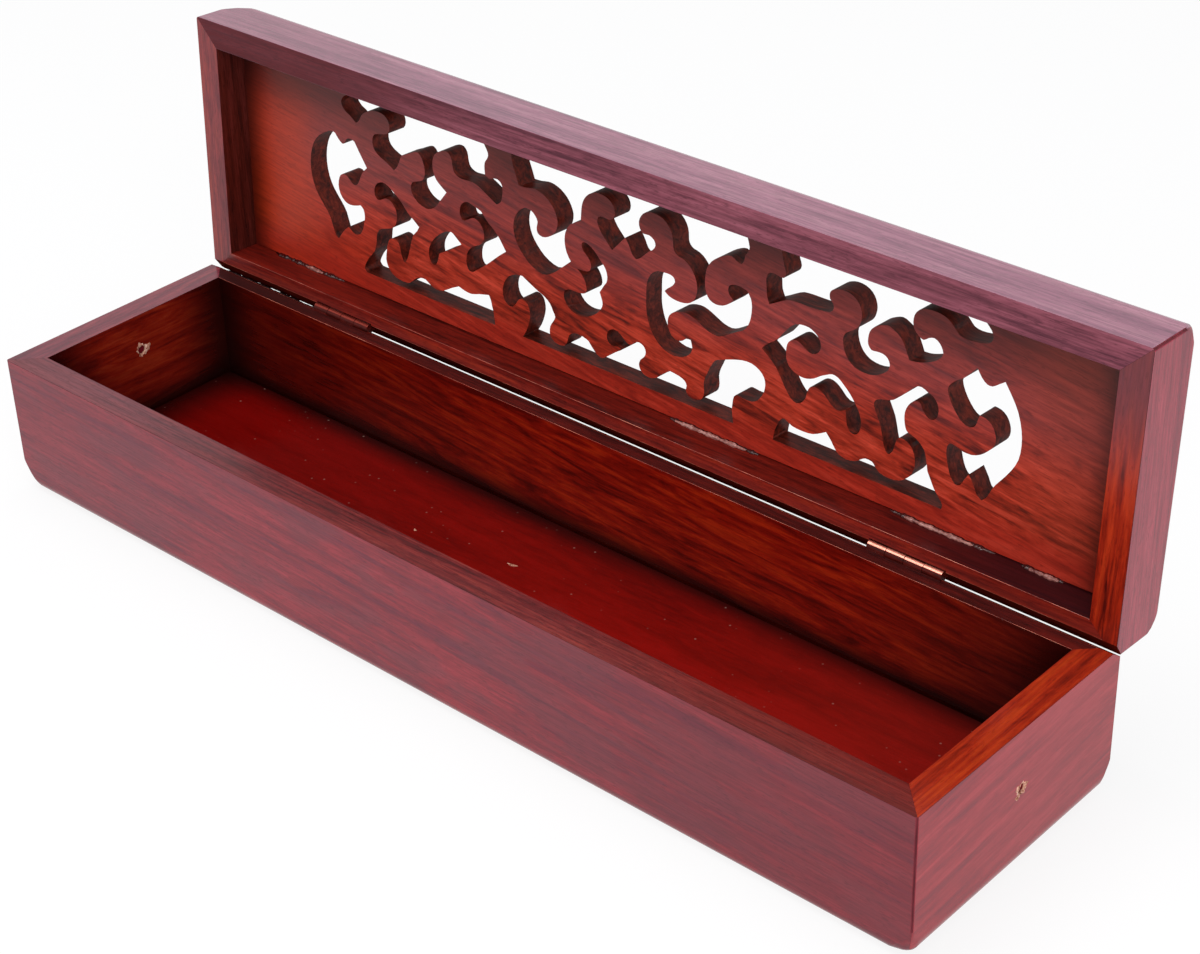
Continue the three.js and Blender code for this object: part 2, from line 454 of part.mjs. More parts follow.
// Hinges. Each leaf is drawn in its own frame: the axis is the X axis, the plate reaches towards
// -Y, and the rim that it lies flush with is just below the axis. The lid's leaf is the same leaf
// turned over, end for end.
const hingeCentres = {
  left: leftHingeFromEnd - halfLength,
  right: halfLength - rightHingeFromEnd,
};
const plateTop = -rimGap / 2;
const plateBottom = plateTop - leafThickness;
const plateEdge = -(barrelRadius + knuckleGap);
const screwY = (plateEdge - leafReach) / 2;
const screwXs = [-screwSpacing / 2, screwSpacing / 2];
const knuckleLength = (hingeLength - (knuckleCount - 1) * knuckleGap) / knuckleCount;

// A countersunk screw with its head flush in the plate, or the hole for one
function screwParts(x, play) {
  const neck = plateTop - screwHeadDepth;
  const headTop = plateTop + play;
  const shankEnd = plateTop - screwLength - play;
  return [
    barAlongZ(screwHeadRadius + 2 * play, screwRadius + play, neck, headTop, x, screwY),
    barAlongZ(screwRadius + play, screwRadius + play, shankEnd, neck + screwHeadDepth / 2, x, screwY),
  ];
}

function leafSolid(holdsFirstKnuckle) {
  const parts = [block([-hingeLength / 2, -leafReach, plateBottom], [hingeLength / 2, plateEdge, plateTop])];
  for (let i = 0; i < knuckleCount; i += 1) {
    if ((i % 2 === 0) === holdsFirstKnuckle) {
      const fromX = -hingeLength / 2 + i * (knuckleLength + knuckleGap);
      const toX = fromX + knuckleLength;
      parts.push(block([fromX, plateEdge - knuckleGap, plateBottom], [toX, 0, plateTop]));
      parts.push(barAlongX(barrelRadius, fromX, toX, 0, 0));
    }
  }
  const bore = barAlongX(pinRadius + pinPlay, -halfLength, halfLength, 0, 0);
  const holes = screwXs.flatMap((x) => screwParts(x, screwPlay));
  return cut(join(parts), [bore, ...holes]);
}

// What a leaf takes out of its timber: the slot for the plate, the channel for the barrel and the
// screw holes. The cutters are turned over for the lid, like the leaf, and set on the hinge axis.
function recessCutters(centreX, inLid) {
  const end = hingeLength / 2 + leafPlay;
  const cutters = [
    block([-end, -leafReach - leafPlay, plateBottom - leafPlay], [end, 0, overcut]),
    barAlongX(barrelRadius + leafPlay, -end, end, 0, 0),
    ...screwXs.flatMap((x) => screwParts(x, screwPlay)),
  ];
  return cutters.map((cutter) => cutter.rotateY(inLid ? Math.PI : 0).translate(centreX, axisY, axisZ));
}

// The tray
const box = new THREE.Group();
const hingeXs = Object.values(hingeCentres);

function endHole(side, drop) {
  const faceX = side * halfLength;
  const innerX = side * (halfLength - wallThickness - overcut);
  const fromX = Math.min(faceX + side * overcut, innerX);
  const toX = Math.max(faceX + side * overcut, innerX);
  return barAlongX(endHoleRadius, fromX, toX, endHoleOffset, baseHeight - drop);
}

const baseRoundings = () => fourRoundings(baseEndRadius, baseSideRadius, 0, false);
const baseChamfer = () => chamferCutter(baseHeight, 1);
const baseCuts = {
  front: baseRoundings(),
  back: [...baseRoundings(), baseChamfer(), ...hingeXs.flatMap((x) => recessCutters(x, false))],
  left: [...baseRoundings(), baseChamfer(), endHole(-1, leftHoleDrop)],
  right: [...baseRoundings(), baseChamfer(), endHole(1, rightHoleDrop)],
};
const baseNames = {
  front: 'base_front_wall',
  back: 'base_back_wall',
  left: 'base_left_end',
  right: 'base_right_end',
};
for (const [side, name] of Object.entries(baseNames)) {
  const timber = mitredTimber(wallSection(), side, 0);
  addPiece(box, name, toGeometry(cut(timber, baseCuts[side])), 'wall');
}

const innerX = halfLength - wallThickness;
const innerY = halfWidth - wallThickness;
const boardX = innerX - floorPlay;
const boardY = innerY - floorPlay;
const tongueX = innerX + tongueReach;
const tongueY = innerY + tongueReach;
const tongueTop = floorTongueBottom + floorTongueThickness;
const floorBoard = join([
  block([-boardX, -boardY, 0], [boardX, boardY, floorThickness]),
  block([-tongueX, -tongueY, floorTongueBottom], [tongueX, tongueY, tongueTop]),
]);
addPiece(box, 'floor_panel', toGeometry(floorBoard), 'floor');

// The lid. Its pieces are made where they lie when the box is shut, in a group that stands on the
// hinge axis, and the group is turned to open it.
const lid = new THREE.Group();
lid.position.set(0, axisY, axisZ);
lid.rotation.x = -openAngle;
box.add(lid);

function addLidPiece(name, solid, finish) {
  const geometry = toGeometry(solid).translate(0, -axisY, -axisZ);
  return addPiece(lid, name, geometry, finish);
}

const lidRoundings = () => fourRoundings(lidEndRadius, lidSideRadius, lidRimZ + lidHeight, true);
const lidChamfer = () => chamferCutter(lidRimZ, -1);
const lidCuts = {
  front: lidRoundings(),
  back: [...lidRoundings(), lidChamfer(), ...hingeXs.flatMap((x) => recessCutters(x, true))],
  left: [...lidRoundings(), lidChamfer()],
  right: [...lidRoundings(), lidChamfer()],
};
const lidNames = {
  front: 'lid_front_rail',
  back: 'lid_back_rail',
  left: 'lid_left_end',
  right: 'lid_right_end',
};
for (const [side, name] of Object.entries(lidNames)) {
  const timber = mitredTimber(railSection(), side, lidRimZ);
  addLidPiece(name, cut(timber, lidCuts[side]), 'rail');
}

// One opening of the panel, as points on the panel: the drawing fills the field inside the border
const fieldX = halfLength - railThickness - borderAtEnds;
const fieldBottom = railThickness + borderAtHinges;
const fieldTop = boxWidth - railThickness - borderAtFront;

function fieldPoint([x, s]) {
  const across = x / drawnField.halfLength;
  const up = (s - drawnField.bottom) / (drawnField.top - drawnField.bottom);
  return new THREE.Vector2(across * fieldX, fieldBottom + up * (fieldTop - fieldBottom));
}

function openingOutline(runs) {
  const outline = [];
  for (const run of runs) {
    const points = run.map(fieldPoint);
    const curved = points.length > 2;
    const drawn = curved
      ? new THREE.SplineCurve(points).getPoints((points.length - 1) * stepsPerPoint)
      : points;
    outline.push(...drawn.slice(0, -1));
  }
  return new THREE.Shape(outline);
}

// The panel is drawn over its face, from the hinged edge up, and then laid face down in the lid
function panelSolid() {
  const sightX = halfLength - railThickness;
  const sightLow = railThickness;
  const sightHigh = boxWidth - railThickness;
  const top = lidRimZ + panelDepth + panelThickness;
  const tongueHigh = panelThickness - panelTongueInset;
  const layDown = (body) => body.rotateX(Math.PI).translate(0, halfWidth, top);
  const plate = block(
    [panelPlay - sightX, sightLow + panelPlay, 0],
    [sightX - panelPlay, sightHigh - panelPlay, panelThickness],
  );
  const tongue = block(
    [-sightX - tongueReach, sightLow - tongueReach, tongueHigh - panelTongueThickness],
    [sightX + tongueReach, sightHigh + tongueReach, tongueHigh],
  );
  const through = panelThickness + 2 * overcut;
  const openings = Object.values(scrollOpenings).map((runs) => {
    const opening = new THREE.ExtrudeGeometry(openingOutline(runs), { depth: through, bevelEnabled: false });
    return layDown(opening.translate(0, 0, -overcut));
  });
  return cut(join([layDown(plate), layDown(tongue)]), openings);
}

addLidPiece('lid_pierced_panel', panelSolid(), 'openwork');

// The hinges: a leaf in each timber, the pin that holds them together, and their screws
for (const [side, centreX] of Object.entries(hingeCentres)) {
  const baseHinge = new THREE.Group();
  baseHinge.position.set(centreX, axisY, axisZ);
  box.add(baseHinge);
  const lidHinge = new THREE.Group();
  lidHinge.position.set(centreX, 0, 0);
  lidHinge.rotation.y = Math.PI;
  lid.add(lidHinge);

  const lidHoldsFirst = knuckleCount % 2 === 0;
  addPiece(baseHinge, `${side}_hinge_base_leaf`, toGeometry(leafSolid(true)), 'copper');
  addPiece(lidHinge, `${side}_hinge_lid_leaf`, toGeometry(leafSolid(lidHoldsFirst)), 'copper');
  const pin = toSolid(barAlongX(pinRadius, -hingeLength / 2, hingeLength / 2, 0, 0));
  addPiece(baseHinge, `${side}_hinge_pin`, toGeometry(pin), 'copper');
  screwXs.forEach((x, i) => {
    const number = i + 1;
    addPiece(baseHinge, `${side}_hinge_base_screw_${number}`, toGeometry(join(screwParts(x, 0))), 'copper');
    addPiece(lidHinge, `${side}_hinge_lid_screw_${number}`, toGeometry(join(screwParts(x, 0))), 'copper');
  });
}

export default box;
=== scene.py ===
# %% [markdown]
# # A wooden incense box with a pierced lid
#
# The box is a long mitred tray with a hinged lid. The lid's panel is sawn through with scrolls, so
# that smoke can rise out of it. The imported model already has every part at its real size, in
# metres, so this script dresses those parts: it softens their edges, gives each face its wood and
# its finish, adds the small marks of handwork, and lights and frames the result.

# %% Load the model
import math

import bmesh
import bpy
import numpy as np
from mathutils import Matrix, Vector


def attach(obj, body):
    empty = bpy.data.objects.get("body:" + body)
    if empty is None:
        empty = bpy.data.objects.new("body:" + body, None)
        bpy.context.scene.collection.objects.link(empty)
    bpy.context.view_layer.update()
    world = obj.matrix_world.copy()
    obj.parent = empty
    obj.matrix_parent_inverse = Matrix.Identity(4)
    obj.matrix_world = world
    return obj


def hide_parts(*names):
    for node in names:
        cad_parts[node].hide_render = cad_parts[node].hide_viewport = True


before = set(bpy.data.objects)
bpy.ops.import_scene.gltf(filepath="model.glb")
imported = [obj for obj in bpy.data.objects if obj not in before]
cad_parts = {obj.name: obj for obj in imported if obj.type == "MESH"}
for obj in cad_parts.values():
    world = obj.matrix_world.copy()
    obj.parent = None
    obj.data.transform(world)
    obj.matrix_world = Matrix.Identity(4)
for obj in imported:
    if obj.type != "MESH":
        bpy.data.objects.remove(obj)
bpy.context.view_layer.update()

mm = 0.001

# %% [markdown]
# ## Camera
#
# The photograph looks down at the box from the front right with a long lens. The place, the aim
# and the small tilt of the camera were worked out from the corners of the box, whose sizes are
# known, so that the same corners fall on the same places in the picture.

# %% Camera
camera_place = Vector((320.54, -315.84, 313.81)) * mm
camera_aim = Vector((12.256, 15.94, 34.0)) * mm
camera_roll = math.radians(-1.969)

camera_data = bpy.data.cameras.new("camera")
camera_data.sensor_fit = "HORIZONTAL"
camera_data.sensor_width = 36.0
camera_data.lens = 75.13
camera_data.clip_start = 0.01
camera = bpy.data.objects.new("camera", camera_data)
camera.location = camera_place
camera.rotation_euler = (camera_aim - camera_place).to_track_quat("-Z", "Y").to_euler()
camera.rotation_euler.rotate_axis("Z", camera_roll)
bpy.context.scene.collection.objects.link(camera)
bpy.context.scene.camera = camera
print("camera stands", round((camera_aim - camera_place).length, 3), "m from what it looks at")

# %% [markdown]
# ## Light
#
# The photograph is a product picture on white: one broad soft light overhead, white all round, and
# hardly any shadow. A large lamp above does most of the work and a weaker one fills from the front
# right. What matters more for lacquered wood is what it mirrors. The outside of the box mirrors
# the white room and looks rose, while the inside mirrors only more red wood and looks deep red. So
# the room and the table top are plain white to reflections as well as to the camera.


# %% Lamps
def soft_lamp(name, place, target, size, watts):
    """Adds a square lamp that faces a target."""
    data = bpy.data.lights.new(name, "AREA")
    data.size = size
    data.energy = watts
    lamp = bpy.data.objects.new(name, data)
    lamp.location = place
    lamp.rotation_euler = (Vector(target) - Vector(place)).to_track_quat("-Z", "Y").to_euler()
    bpy.context.scene.collection.objects.link(lamp)


soft_lamp("overhead", (-0.15, -0.10, 0.9), (0.0, 0.0, 0.0), 0.7, 5.5)
soft_lamp("front_fill", (0.75, -0.60, 0.5), (0.0, 0.0, 0.03), 0.6, 6.0)
print("lamps:", [lamp.name for lamp in bpy.data.lights])


# %% World and table top
def add(tree, kind, links=None, **settings):
    """Adds one shader node: settings go on the node, and links fill its inputs with a value or
    with another node's output."""
    node = tree.nodes.new(kind)
    for key, value in settings.items():
        setattr(node, key, value)
    for key, value in (links or {}).items():
        if isinstance(value, bpy.types.NodeSocket):
            tree.links.new(value, node.inputs[key])
        else:
            node.inputs[key].default_value = value
    return node


def clean_tree(owner):
    """The empty node tree of a material or a world."""
    owner.use_nodes = True
    owner.node_tree.nodes.clear()
    return owner.node_tree


def white_to_the_eye(tree):
    """One for rays from the camera and for rays that come off metal, lacquer or glass."""
    path = add(tree, "ShaderNodeLightPath")
    seen = add(tree, "ShaderNodeMath", {
        0: path.outputs["Is Camera Ray"], 1: path.outputs["Is Glossy Ray"]}, operation="MAXIMUM")
    return add(tree, "ShaderNodeMath", {
        0: seen.outputs[0], 1: path.outputs["Is Transmission Ray"]}, operation="MAXIMUM").outputs[0]


world = bpy.data.worlds.new("white_room")
bpy.context.scene.world = world
tree = clean_tree(world)
lit = add(tree, "ShaderNodeBackground", {"Color": (1, 1, 1, 1), "Strength": 0.5})
seen = add(tree, "ShaderNodeBackground", {"Color": (1, 1, 1, 1), "Strength": 1.0})
mix = add(tree, "ShaderNodeMixShader", {
    0: white_to_the_eye(tree), 1: lit.outputs[0], 2: seen.outputs[0]})
add(tree, "ShaderNodeOutputWorld", {"Surface": mix.outputs[0]})

table_mesh = bpy.data.meshes.new("table_top")
reach = 3.0
drop = -0.0002
corners = [(-reach, -reach, drop), (reach, -reach, drop), (reach, reach, drop), (-reach, reach, drop)]
table_mesh.from_pydata(corners, [], [(0, 1, 2, 3)])
table = bpy.data.objects.new("table_top", table_mesh)
bpy.context.scene.collection.objects.link(table)

paper = bpy.data.materials.new("white_paper")
tree = clean_tree(paper)
plain = add(tree, "ShaderNodeBsdfDiffuse", {"Color": (0.85, 0.85, 0.87, 1)})
glow = add(tree, "ShaderNodeEmission", {"Color": (1, 1, 1, 1), "Strength": 1.0})
share = add(tree, "ShaderNodeMath", {0: white_to_the_eye(tree), 1: 0.85}, operation="MULTIPLY")
mix = add(tree, "ShaderNodeMixShader", {
    0: share.outputs[0], 1: plain.outputs[0], 2: glow.outputs[0]})
add(tree, "ShaderNodeOutputMaterial", {"Surface": mix.outputs[0]})
table_mesh.materials.append(paper)

bpy.context.scene.view_settings.view_transform = "Standard"
print("table top", 2 * reach, "m across")

# %% [markdown]
# ## Wood
#
# The box is a red hardwood of the rosewood kind, planed, stained red and given a satin lacquer.
# Such wood shows four things at four scales: broad dark streaks a few millimetres wide, where the
# growth rings run out of the face; the rings themselves, thin wavy lines a millimetre or two
# apart; hair lines of grain; and open pores, short dark dashes along the grain. Each comes from a
# noise or a wave that is stretched along the grain.
#
# A plank changes colour along its length, so a face can also shade from place to place. Some
# shades are painted shade instead, which darkens corners, the foot of a wall and the panel under
# its rail. On some faces duller patches come and go, and a few specks of dust stay in the lacquer.


# %% Colours
def linear(hex_code):
    """The linear colour of an sRGB hex value."""
    channels = np.array([int(hex_code[i:i + 2], 16) for i in (1, 3, 5)]) / 255
    values = np.where(channels <= 0.04045, channels / 12.92, ((channels + 0.055) / 1.055) ** 2.4)
    return (*values.tolist(), 1.0)


satin = 0.2
thin_coat = 0.75
# Painted shade: the colour that darkens corners and the foot of a wall, where shade falls.
corner_shade_colour = "#140303"
dust = "#f4c8b8"


def shaded_corners(axis, clear, dark, strength=0.93):
    """Two painted shades that darken both ends of an axis, where shade falls in the corners."""
    return [(axis, clear, dark, strength, corner_shade_colour), (axis, -clear, -dark, strength, corner_shade_colour)]


# %% [markdown]
# ### The layers of the wood
#
# A Mapping node of the Texture kind divides by its scale, so its scale can be written as real
# lengths, along the grain and across it. A Mix node only numbers its sockets, so they get names
# here: the share, the two numbers or the two colours that it mixes, and the colour it gives.

# %% Layers of noise
mix_share = 0
number_a, number_b = 2, 3
colour_a, colour_b = 6, 7
mixed_colour = 2
wood_scales = {"mottle": (7.0, 1.3, 4.0, 0.6), "hairs": (14.0, 0.5, 3.0, 0.3),
               "pores": (2.2, 0.3, 1.0, 0.0), "patches": (26.0, 8.0, 3.0, 0.4)}


def along_grain(grain, along, across):
    """The lengths, on the three axes, of a pattern that is stretched along the grain."""
    lengths = [across * mm] * 3
    lengths["xyz".index(grain)] = along * mm
    return lengths


def grain_layers(tree, laid, grain, streak, wave):
    """A noise for each thing that wood shows. A scale is its length along the grain, its length
    across it, its detail and how far it wavers, and laid says how the plank lies in space."""
    layers = {}
    scales = {"streaks": (*streak, 5.0, wave), **wood_scales}
    for layer, (along, across, detail, waver) in scales.items():
        place = add(tree, "ShaderNodeMapping", {
            **laid, "Scale": along_grain(grain, along, across)}, vector_type="TEXTURE")
        layers[layer] = add(tree, "ShaderNodeTexNoise", {
            "Vector": place.outputs[0], "Scale": 1.0, "Detail": detail, "Roughness": 0.6,
            "Distortion": waver}).outputs["Fac"]
    return layers


# %% The stained colour
def stained(tree, where, layers, colours, patches, shades):
    """The wood's colour, pale to dark with its streaks, under its patches and then its shades."""
    tone = add(tree, "ShaderNodeMix", {
        mix_share: 0.3, number_a: layers["streaks"], number_b: layers["mottle"]})
    ramp = add(tree, "ShaderNodeValToRGB", {"Fac": tone.outputs[0]})
    ramp.color_ramp.elements.new(0.5)
    for element, position, colour in zip(ramp.color_ramp.elements, (0.38, 0.5, 0.63), colours):
        element.position = position
        element.color = linear(colour)

    patch_colour, patch_strength = patches
    patch = add(tree, "ShaderNodeMapRange", {
        "Value": layers["patches"], "From Min": 0.45, "From Max": 0.62, "To Min": 0.0,
        "To Max": patch_strength}, interpolation_type="SMOOTHSTEP")
    colour = add(tree, "ShaderNodeMix", {
        mix_share: patch.outputs[0], colour_a: ramp.outputs["Color"],
        colour_b: linear(patch_colour)}, data_type="RGBA")
    parts = add(tree, "ShaderNodeSeparateXYZ", {"Vector": where})
    for axis, clear, full, strength, tint in shades:
        share = add(tree, "ShaderNodeMapRange", {
            "Value": parts.outputs[axis], "From Min": clear * mm, "From Max": full * mm,
            "To Min": 0.0, "To Max": strength}, interpolation_type="SMOOTHSTEP")
        colour = add(tree, "ShaderNodeMix", {
            mix_share: share.outputs[0], colour_a: colour.outputs[mixed_colour],
            colour_b: linear(tint)}, data_type="RGBA")
    return colour.outputs[mixed_colour]


# %% Fine marks and dust
def fine_marks(tree, layers, laid, grain, lines, rings, ring_width):
    """How much hair lines, open pores and growth rings darken each place. The rings are a wave
    across the grain that noise bends."""
    hair = add(tree, "ShaderNodeMapRange", {
        "Value": layers["hairs"], "From Min": 0.42, "From Max": 0.68, "To Min": 0.0, "To Max": lines})
    pore = add(tree, "ShaderNodeMapRange", {
        "Value": layers["pores"], "From Min": 0.58, "From Max": 0.68, "To Min": 0.0, "To Max": lines})
    marks = add(tree, "ShaderNodeMath", {0: hair.outputs[0], 1: pore.outputs[0]}, operation="MAXIMUM")
    if rings:
        place = add(tree, "ShaderNodeMapping", {
            **laid, "Scale": along_grain(grain, 16 * ring_width, ring_width)}, vector_type="TEXTURE")
        band = add(tree, "ShaderNodeTexWave", {
            "Vector": place.outputs[0], "Scale": 0.31, "Distortion": 7.0, "Detail": 3.0,
            "Detail Scale": 0.35, "Detail Roughness": 0.6}, bands_direction="Z" if grain != "z" else "Y")
        ring = add(tree, "ShaderNodeMapRange", {
            "Value": band.outputs["Fac"], "From Min": 0.72, "From Max": 1.0, "To Min": 0.0,
            "To Max": rings})
        marks = add(tree, "ShaderNodeMath", {
            0: marks.outputs[0], 1: ring.outputs[0]}, operation="MAXIMUM")
    return marks.outputs[0]


def dusted(tree, where, away, colour, specks):
    """The colour with pale specks of dust: a dot in the middle of a few of the cells that a
    Voronoi pattern makes."""
    place = add(tree, "ShaderNodeMapping", {
        "Vector": where, "Location": away, "Scale": [2.4 * mm] * 3}, vector_type="TEXTURE")
    cells = add(tree, "ShaderNodeTexVoronoi", {"Vector": place.outputs[0], "Scale": 1.0})
    dot = add(tree, "ShaderNodeMapRange", {
        "Value": cells.outputs["Distance"], "From Min": 0.13, "From Max": 0.05, "To Min": 0.0,
        "To Max": specks})
    chance = add(tree, "ShaderNodeSeparateColor", {"Color": cells.outputs["Color"]})
    few = add(tree, "ShaderNodeMapRange", {
        "Value": chance.outputs[0], "From Min": 0.6, "From Max": 0.95})
    speck = add(tree, "ShaderNodeMath", {0: dot.outputs[0], 1: few.outputs[0]}, operation="MULTIPLY")
    return add(tree, "ShaderNodeMix", {
        mix_share: speck.outputs[0], colour_a: colour, colour_b: linear(dust)},
        data_type="RGBA").outputs[mixed_colour]


# %% [markdown]
# ### The whole material
#
# Hair lines and pores are also shallow grooves, so they drive the bump. Wood that is soaked with
# lacquer has no shine of its own below it, because both bend light alike, so all the gloss is the
# coat's.


# %% The wood material
def lacquered_rosewood(name, colours, grain, streak=(70, 4.5), turn=(0, 0, 0), wave=0.8, lines=0.45,
                       rings=0.0, ring_width=1.8, patches=("#ffffff", 0.0), shades=(), specks=0.0,
                       gloss=satin, coat=thin_coat, shift=0.0):
    """Planed rosewood, stained and lacquered. The colours run from pale wood to dark streak, grain
    is the axis it runs along, and turn tilts it by some degrees. Lengths are in millimetres.
    Patches are a colour that comes and goes, and how much. Each of the shades is an axis, where
    the wood is clear, where it is shaded, how much, and a colour. Each shift is another plank."""
    material = bpy.data.materials.new(name)
    tree = clean_tree(material)
    where = add(tree, "ShaderNodeTexCoord").outputs["Object"]
    away = [0.05 * shift] * 3
    laid = {"Vector": where, "Location": away, "Rotation": [math.radians(angle) for angle in turn]}
    layers = grain_layers(tree, laid, grain, streak, wave)
    colour = stained(tree, where, layers, colours, patches, shades)
    marks = fine_marks(tree, layers, laid, grain, lines, rings, ring_width)
    deep = tuple(0.3 * value for value in linear(colours[2])[:3]) + (1.0,)
    colour = add(tree, "ShaderNodeMix", {
        mix_share: marks, colour_a: colour, colour_b: deep}, data_type="RGBA").outputs[mixed_colour]
    if specks:
        colour = dusted(tree, where, away, colour, specks)

    relief = add(tree, "ShaderNodeMath", {0: 1.0, 1: marks}, operation="SUBTRACT")
    bump = add(tree, "ShaderNodeBump", {
        "Height": relief.outputs[0], "Strength": 0.3, "Distance": 0.05 * mm})
    shader = add(tree, "ShaderNodeBsdfPrincipled", {
        "Base Color": colour, "Roughness": 0.6, "Specular IOR Level": 0.0,
        "Normal": bump.outputs[0], "Coat Normal": bump.outputs[0], "Coat Weight": coat,
        "Coat Roughness": gloss})
    add(tree, "ShaderNodeOutputMaterial", {"Surface": shader.outputs[0]})
    return material


# %% [markdown]
# ## The timbers
#
# Each wall, rail and board is copied from the model, its loose triangles are merged back into
# flat faces, and a Bevel takes the sharpness off its long edges, as sandpaper does before the
# lacquer goes on. The mitres were glued before the sanding, so their edges stay sharp, and glue
# fills them until only a hair of the joint shows. Then each face gets the wood for the way it
# looks: the outside was rubbed and handled, the rim is planed, and the inside was stained darker,
# and painted shade darkens its corners.

# %% Directions and places of the lid
lid_lean = math.radians(3)
lid_up = Vector((0, math.sin(lid_lean), math.cos(lid_lean)))
lid_front = Vector((0, -math.cos(lid_lean), math.sin(lid_lean)))
hinge_axis = Vector((0, 30.8, 34.15)) * mm


def in_open_lid(x, y, z):
    """Where a place of the closed lid is when the lid stands open. Its height above the hinge axis
    becomes a distance back, and its distance in front of the axis becomes a height."""
    from_axis = Vector((x, y, z)) * mm - hinge_axis
    return Vector((x * mm, hinge_axis.y, hinge_axis.z)) - from_axis.y * lid_up - from_axis.z * lid_front


print("the middle of the lid's front rim stands at", in_open_lid(0, -33, 34.3))

# %% [markdown]
# ### Sanded corners
#
# Sanding also rounds the corners of the box: the upright ones a little, and those under the tray
# and on top of the lid more, most of all at the left. Each is cut by planes that touch a ball
# sitting in the corner, and smooth shading hides the small steps between them.

# %% Planes that round a corner off
half_length = 130
half_width = 33
lid_top_height = 49.4
tray_upright_radius = 0.6
lid_upright_radius = 0.8
ball_radii = ((-1, 3.8, 4.4), (1, 3.9, 2.3))
turns = [math.radians(angle) for angle in (15, 30, 45, 60, 75)]
upright = [0.0]
dipped = [math.radians(angle) for angle in (18, 34, 50, 66)]


def round_off(corner, inward, radius, dips):
    """Planes, each a point and a direction, that touch a ball in a corner. Inward has the three
    directions from the corner into the wood, and the dips turn a plane towards the third."""
    middle = corner + radius * mm * sum(inward, Vector())
    planes = []
    for dip in dips:
        for turn in turns:
            level = math.cos(turn) * inward[0] + math.sin(turn) * inward[1]
            out = -math.cos(dip) * level - math.sin(dip) * inward[2]
            planes.append((middle + radius * mm * out, out))
    return planes


tray_cuts = []
lid_cuts = []
for side, tray_ball, lid_ball in ball_radii:
    for end in (-1, 1):
        across = Vector((-side, 0, 0))
        low = Vector((side * half_length, end * half_width, 0)) * mm
        inward = (across, Vector((0, -end, 0)), Vector((0, 0, 1)))
        tray_cuts += round_off(low, inward, tray_upright_radius, upright)
        tray_cuts += round_off(low, inward, tray_ball, dipped)
        high = in_open_lid(side * half_length, end * half_width, lid_top_height)
        inward = (across, end * lid_up, lid_front)
        lid_cuts += round_off(high, inward, lid_upright_radius, upright)
        lid_cuts += round_off(high, inward, lid_ball, dipped)
print("planes:", len(tray_cuts), "for the tray and", len(lid_cuts), "for the lid")

# %% Edges and mitres of a timber
arris = 0.35 * mm
mitre_filler = 0.05 * mm
crease = math.radians(35)
shortest_arris = 25 * mm
shortest_long_timber = 100 * mm


def long_edge(edge):
    """Whether an edge is one of a timber's long ones."""
    return edge.calc_length() > shortest_arris


def at_mitre(face):
    """Whether a face is a mitre, which lies halfway between the long and the short side."""
    return abs(abs(face.normal.x) - math.sqrt(0.5)) < 0.01


def close_mitres(grid):
    """Moves the mitres of a timber out along its length, so that only a hair of the joint shows."""
    places = [vert.co.x for vert in grid.verts]
    is_long = max(places) - min(places) > shortest_long_timber
    for vert in grid.verts:
        for face in vert.link_faces:
            if at_mitre(face):
                along = Vector((face.normal.x, 0, 0))
                vert.co += mitre_filler * (along if is_long else face.normal - along).normalized()
                break


# %% The helper that makes a timber
def dress(node, body, materials, choose, soften=long_edge, edge=arris, on_edges=None, cuts=()):
    """Copies a node, merges it, cuts it by planes, gives each face one of the materials and
    softens the edges. choose(normal, centre) says which material a face has, soften(edge) which
    sharp edges are rounded, and on_edges is the number of the material that the rounding gets."""
    grid = bmesh.new()
    grid.from_mesh(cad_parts[node].data)
    bmesh.ops.remove_doubles(grid, verts=grid.verts, dist=1e-6)
    bmesh.ops.dissolve_limit(grid, angle_limit=math.radians(0.5), verts=grid.verts, edges=grid.edges)
    close_mitres(grid)
    for point, direction in cuts:
        whole = grid.verts[:] + grid.edges[:] + grid.faces[:]
        cut = bmesh.ops.bisect_plane(grid, geom=whole, plane_co=point, plane_no=direction, clear_outer=True)
        rim = [part for part in cut["geom_cut"] if isinstance(part, bmesh.types.BMEdge)]
        bmesh.ops.holes_fill(grid, edges=rim)
    grid.normal_update()
    for face in grid.faces:
        face.material_index = choose(face.normal, face.calc_center_median())
        face.smooth = True
    rounded = grid.edges.layers.float.new("bevel_weight_edge")
    for side in grid.edges:
        if len(side.link_faces) == 2 and side.calc_face_angle() > crease:
            glued = any(at_mitre(face) for face in side.link_faces)
            side[rounded] = 1.0 if soften(side) and not glued else 0.0
            side.smooth = side[rounded] > 0
    mesh = bpy.data.meshes.new(node + "_dressed")
    grid.to_mesh(mesh)
    grid.free()
    for material in materials:
        mesh.materials.append(material)
    piece = bpy.data.objects.new(node + "_dressed", mesh)
    bpy.context.scene.collection.objects.link(piece)
    bevel = piece.modifiers.new("arris", "BEVEL")
    bevel.width = edge
    bevel.segments = 2
    bevel.limit_method = "WEIGHT"
    if on_edges is not None:
        bevel.material = on_edges
    flat = piece.modifiers.new("flat_faces", "WEIGHTED_NORMAL")
    flat.keep_sharp = True
    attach(piece, body)
    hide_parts(node)
    print(piece.name, len(mesh.polygons), "faces")
